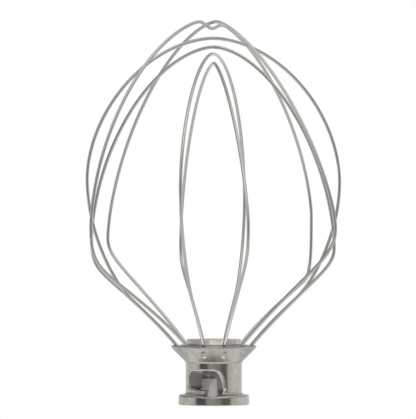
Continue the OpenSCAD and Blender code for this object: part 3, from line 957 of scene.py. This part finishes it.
def studio():
    """World: white to the camera, and the tent in bands of height to all else."""
    world = bpy.data.worlds.new("studio")
    world.use_nodes = True
    bpy.context.scene.world = world
    tree = world.node_tree
    tree.nodes.clear()
    place = shader_node(tree, "ShaderNodeTexCoord").outputs["Generated"]
    parts = shader_node(tree, "ShaderNodeSeparateXYZ", in_Vector=place)
    share = bearing_share(tree, place)
    tone = tone_ramp(tree, share, BELOW_TONES)
    for (start, end), tones in ((STANDS_START, LOW_TONES), (WALL_START, WALL_TONES),
                                (CEILING_START, CEILING_TONES)):
        above = shader_node(tree, "ShaderNodeMapRange", in_Value=parts.outputs["Z"],
                            in_From_Min=start, in_From_Max=end)
        tone = blend(tree, above.outputs["Result"], tone, tone_ramp(tree, share, tones))
    around = shader_node(tree, "ShaderNodeBackground", in_Color=tone)
    white = shader_node(tree, "ShaderNodeBackground", in_Color=(1, 1, 1, 1))
    path = shader_node(tree, "ShaderNodeLightPath")
    mixed = shader_node(tree, "ShaderNodeMixShader", in_0=path.outputs["Is Camera Ray"],
                        in_1=around.outputs["Background"], in_2=white.outputs["Background"])
    shader_node(tree, "ShaderNodeOutputWorld", in_Surface=mixed.outputs["Shader"])


def floor():
    """Pale floor that glows nearly white, takes the hub's shadow and has its own tone in metal."""
    shape = bmesh.new()
    bmesh.ops.create_circle(shape, cap_ends=True, segments=96, radius=FLOOR_RADIUS)
    for v in shape.verts:
        v.co.z = -0.1 * MM
    ground = to_mesh("floor", shape)
    finish, tree, shader = new_finish("pale_floor")
    tree.nodes.remove(shader)
    place = shader_node(tree, "ShaderNodeTexCoord").outputs["Object"]
    away = shader_node(tree, "ShaderNodeVectorMath", operation="LENGTH", in_0=place)
    edge = shader_node(tree, "ShaderNodeMapRange", in_Value=away.outputs["Value"],
                       in_From_Min=0.06, in_From_Max=0.16)
    glow = shader_node(tree, "ShaderNodeEmission", in_Color=(FLOOR_GLOW, FLOOR_GLOW, FLOOR_GLOW, 1))
    matt = shader_node(tree, "ShaderNodeBsdfDiffuse", in_Color=(0.25, 0.25, 0.25, 1))
    both = shader_node(tree, "ShaderNodeAddShader", in_0=glow.outputs[0], in_1=matt.outputs[0])
    white = shader_node(tree, "ShaderNodeEmission", in_Color=(1, 1, 1, 1))
    seen = shader_node(tree, "ShaderNodeMixShader", in_0=edge.outputs["Result"],
                       in_1=both.outputs[0], in_2=white.outputs[0])
    back = tree.nodes.new("ShaderNodeNewGeometry").outputs["Incoming"]
    ray = shader_node(tree, "ShaderNodeVectorMath", operation="SCALE", in_0=back, in_Scale=-1)
    flat = tone_ramp(tree, bearing_share(tree, ray.outputs["Vector"]), LOW_TONES)
    slant = shader_node(tree, "ShaderNodeLayerWeight", in_Blend=0.5)
    sloping = shader_node(tree, "ShaderNodeMapRange", in_Value=slant.outputs["Facing"],
                          in_From_Min=0.82, in_From_Max=0.74)
    beyond = shader_node(tree, "ShaderNodeMapRange", in_Value=away.outputs["Value"],
                         in_From_Min=STEEP_FLOOR[0], in_From_Max=STEEP_FLOOR[1])
    outer = shader_node(tree, "ShaderNodeMath", operation="MULTIPLY", in_0=sloping.outputs["Result"],
                        in_1=beyond.outputs["Result"])
    steeper = shader_node(tree, "ShaderNodeMapRange", in_Value=slant.outputs["Facing"],
                          in_From_Min=0.74, in_From_Max=0.66)
    lit = shader_node(tree, "ShaderNodeMath", operation="MAXIMUM", in_0=outer.outputs["Value"],
                      in_1=steeper.outputs["Result"])
    farther = shader_node(tree, "ShaderNodeMapRange", in_Value=away.outputs["Value"],
                          in_From_Min=NEAR_FLOOR[0], in_From_Max=NEAR_FLOOR[1])
    below = blend(tree, farther.outputs["Result"], (NEAR_TONE, NEAR_TONE, NEAR_TONE, 1),
                  tone_ramp(tree, bearing_share(tree, place), STEEP_TONES))
    walls = blend(tree, lit.outputs["Value"], flat, below)
    near = shader_node(tree, "ShaderNodeMapRange", in_Value=away.outputs["Value"],
                       in_From_Min=BRIGHT_FLOOR[0], in_From_Max=BRIGHT_FLOOR[1],
                       in_To_Min=1, in_To_Max=0)
    steep = shader_node(tree, "ShaderNodeMapRange", in_Value=slant.outputs["Facing"],
                        in_From_Min=0.4, in_From_Max=0.7, in_To_Min=1, in_To_Max=0)
    bright = shader_node(tree, "ShaderNodeMath", operation="MULTIPLY", in_0=near.outputs["Result"],
                         in_1=steep.outputs["Result"])
    tone = blend(tree, bright.outputs["Value"], walls, (1, 1, 1, 1))
    mirrored = shader_node(tree, "ShaderNodeEmission", in_Color=tone)
    path = shader_node(tree, "ShaderNodeLightPath")
    mixed = shader_node(tree, "ShaderNodeMixShader", in_0=path.outputs["Is Glossy Ray"],
                        in_1=seen.outputs[0], in_2=mirrored.outputs[0])
    link(tree, (mixed.outputs[0], tree.nodes["Material Output"].inputs["Surface"]))
    ground.data.materials.append(finish)


def main():
    bpy.context.scene.view_settings.view_transform = "Standard"
    camera()
    studio()
    boss_light = panel("boss_softbox", (0.5, -2.2, 1.0), 3.2, 0.9, 0.75)
    floor()
    grain = surface_wear_group()
    steel = drawn_steel(grain)
    tree = wire_tree()
    for loop in LOOPS:
        wire(loop, tree, steel)
    only_hub = bpy.data.collections.new("lit_by_boss_softbox")
    only_hub.objects.link(hub([cast_alloy(grain), raw_bore(grain), struck_alloy_painted_highlight(grain)]))
    boss_light.light_linking.receiver_collection = only_hub


main()
